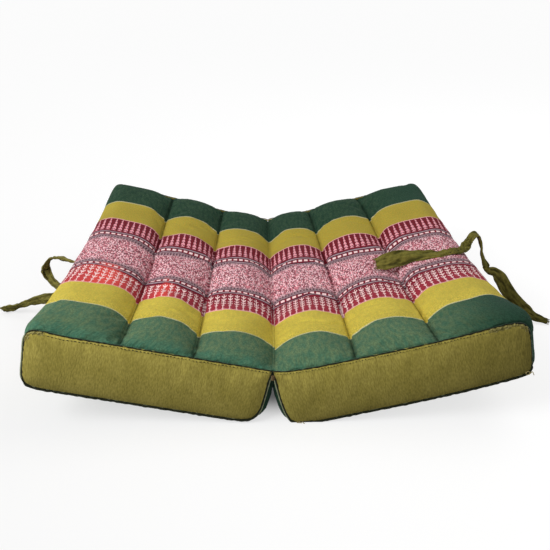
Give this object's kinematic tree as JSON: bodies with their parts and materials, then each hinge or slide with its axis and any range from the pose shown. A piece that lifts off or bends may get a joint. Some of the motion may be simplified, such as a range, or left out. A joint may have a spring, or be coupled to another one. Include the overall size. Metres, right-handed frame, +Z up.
{
  "type": "folding meditation cushion",
  "caption": "Filled floor cushion in two sewn halves that fold on a top hinge seam, each with tubular channels, panelled ends and a cloth tie at its outer side.",
  "frame": {"origin": "on the floor under the middle of the opened cushion, ties included", "axes": "+X across the tubes from the left half to the right half, +Y along the tubes away from the front end panels, +Z up"},
  "size_m": [1.1556, 0.732, 0.1869],
  "materials": {
    "striped_cover": "woven cotton in bands of dark green, mustard green, crimson with leaf sprigs and pink diamonds, matt",
    "panel_cloth": "plain olive cotton with fine slubs, matt",
    "tie_cloth": "plain olive green cotton, folded and sewn flat, matt"
  },
  "bodies": {
    "root": {"pad_left": "striped_cover", "pad_right": "striped_cover", "hinge_seam": "striped_cover", "end_panel_front_left": "panel_cloth", "end_panel_back_left": "panel_cloth", "end_panel_front_right": "panel_cloth", "end_panel_back_right": "panel_cloth", "tie_left": "tie_cloth", "tie_right": "tie_cloth"}
  },
  "joints": []
}
